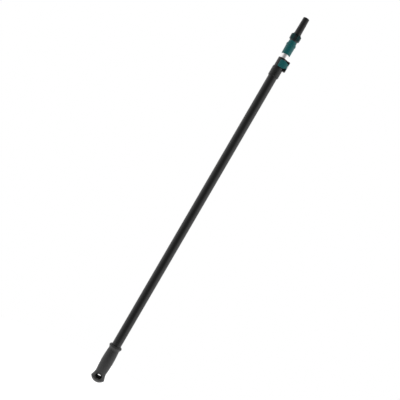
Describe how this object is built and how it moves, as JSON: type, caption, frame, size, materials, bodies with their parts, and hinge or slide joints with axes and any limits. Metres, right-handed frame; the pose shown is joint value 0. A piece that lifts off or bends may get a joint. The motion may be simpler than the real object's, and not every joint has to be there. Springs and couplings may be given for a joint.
{
  "type": "telescopic window cleaning pole",
  "caption": "Telescopic hand pole for window cleaning: rubber grip, black outer tube, cam-lever clamp, sliding inner tube and a tapered tool cone with release buttons.",
  "frame": {"origin": "lowest point of the grip's domed end, on the pole's axis", "axes": "+Z along the pole from the grip to the tool cone's tip; -Y is the front, which the clamp lever lies over; +X is the side of the clamp's ears and bolt"},
  "size_m": [0.0492, 0.0464, 1.311],
  "materials": {
    "grip_rubber": "matte",
    "black_anodised": "satin",
    "bare_aluminium": "satin",
    "black_plastic": "satin",
    "teal_plastic": "satin",
    "dark_teal_plastic": "satin",
    "grey_plastic": "satin",
    "steel": "satin"
  },
  "bodies": {
    "pole_base": {"handle_grip": "grip_rubber", "tube_plug": "grey_plastic", "outer_tube": "black_anodised", "guide_bush": "grey_plastic", "clamp_body": "black_plastic", "clamp_rivets": "steel", "tension_bolt": "steel", "lever_pin": "steel", "adjusting_nut": "steel", "cam_washer": "steel"},
    "lever": {"clamp_lever": "teal_plastic"},
    "glide": {"glide_ring": "grey_plastic"},
    "inner_section": {"inner_guide": "grey_plastic", "guide_pin": "steel", "inner_tube": "bare_aluminium", "head_sleeve": "teal_plastic", "head_rivets": "steel", "latch_housing": "black_plastic", "button_spring_left": "steel", "button_spring_right": "steel", "tool_cone": "black_plastic", "cone_screw": "steel"},
    "button_left": {"latch_button_left": "dark_teal_plastic"},
    "button_right": {"latch_button_right": "dark_teal_plastic"}
  },
  "joints": [
    {"name": "lever_swing", "type": "hinge", "parent": "pole_base", "child": "lever", "pos_m": [0.021, -0.0132, 1.1468], "axis": [0, 0, 1], "range_deg": [0, 120]},
    {"name": "telescope", "type": "slide", "parent": "pole_base", "child": "glide", "axis": [0, 0, 1], "range_m": [-0.0148, 1.01]},
    {"name": "tube_turn", "type": "hinge", "parent": "glide", "child": "inner_section", "pos_m": [0, 0, 0.081], "axis": [0, 0, 1], "continuous": true},
    {"name": "button_left_press", "type": "slide", "parent": "inner_section", "child": "button_left", "axis": [1, 0, 0], "range_m": [0, 0.0025], "stiffness_N_per_m": 600, "springref_m": -0.005, "deforming": ["button_spring_left"]},
    {"name": "button_right_press", "type": "slide", "parent": "inner_section", "child": "button_right", "axis": [-1, 0, 0], "range_m": [0, 0.0025], "stiffness_N_per_m": 600, "springref_m": -0.005, "deforming": ["button_spring_right"]}
  ]
}
